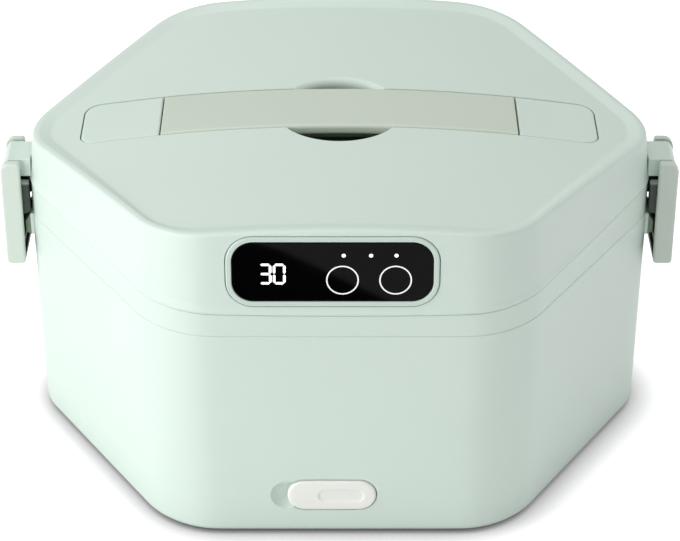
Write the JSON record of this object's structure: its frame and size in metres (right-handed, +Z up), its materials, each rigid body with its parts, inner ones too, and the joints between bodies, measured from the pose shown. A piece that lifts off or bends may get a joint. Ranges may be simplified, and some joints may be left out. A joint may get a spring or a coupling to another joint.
{
  "type": "electric lunch box",
  "caption": "Eight-sided heated lunch box: hinged lid with front display, flush lift handle, side latches, covered power inlet, steel food pot.",
  "frame": {"origin": "centre of the footprint on the surface the feet stand on", "axes": "+Z up, -Y is the display side, +X to the right when facing the display"},
  "size_m": [0.2384, 0.1836, 0.122],
  "materials": {
    "shell_mint": "satin moulded ABS, pale grey-green",
    "trim_olive": "satin moulded ABS, slightly darker grey-green",
    "cover_grey": "moulded, fine texture",
    "rubber": "matt",
    "steel": "drawn stainless sheet, brushed",
    "cast_aluminium": "cast",
    "felt": "glass-fibre felt",
    "ceramic": "glazed housing",
    "board": "soldermask",
    "socket": "moulded",
    "silicone_cream": "soft matt silicone",
    "silicone_grey": "soft silicone",
    "clear_lid": "smooth translucent",
    "panel_white": "food-safe moulding",
    "frame_mint": "smooth",
    "window_black": "glossy smoked acrylic",
    "lamp_white": "diffusing"
  },
  "bodies": {
    "base": {"base_shell": "shell_mint", "bottom_cover": "cover_grey", "rubber_feet": "rubber", "cover_screws": "steel", "base_collar": "shell_mint", "heating_well": "steel", "insulation_blanket": "felt", "heating_plate": "cast_aluminium", "thermostat": "ceramic", "thermal_fuse": "steel", "power_board": "board", "power_inlet": "socket", "food_pot": "steel", "pot_lid": "clear_lid", "pot_seal": "silicone_grey", "vent_plug": "silicone_grey", "hinge_pins": "steel"},
    "inlet_flap": {"inlet_cover": "silicone_cream"},
    "lid": {"lid_shell": "shell_mint", "lid_panel": "panel_white", "lid_gasket": "silicone_grey", "lid_screws": "steel", "display_frame": "frame_mint", "display_window": "window_black", "display_board": "board", "digit_module": "lamp_white", "touch_springs": "steel", "handle_cap_left": "shell_mint", "handle_cap_right": "shell_mint", "latch_pin_left": "steel", "latch_pin_right": "steel"},
    "handle": {"handle_strap": "trim_olive"},
    "left_latch": {"latch_left": "trim_olive"},
    "right_latch": {"latch_right": "trim_olive"}
  },
  "joints": [
    {"name": "lid_hinge", "type": "hinge", "parent": "base", "child": "lid", "pos_m": [0, 0.0882, 0.088], "axis": [-1, 0, 0], "range_deg": [0, 95]},
    {"name": "handle_lift", "type": "slide", "parent": "lid", "child": "handle", "axis": [0, 0, 1], "range_m": [0, 0.01]},
    {"name": "left_latch_turn", "type": "hinge", "parent": "lid", "child": "left_latch", "pos_m": [-0.1144, -0.0038, 0.0996], "axis": [0, 1, 0], "range_deg": [0, 100]},
    {"name": "right_latch_turn", "type": "hinge", "parent": "lid", "child": "right_latch", "pos_m": [0.1144, -0.0038, 0.0996], "axis": [0, -1, 0], "range_deg": [0, 100]},
    {"name": "inlet_flap_turn", "type": "hinge", "parent": "base", "child": "inlet_flap", "pos_m": [0.01255, -0.09182, 0.0172], "axis": [0, 0, 1], "range_deg": [0, 100]}
  ]
}
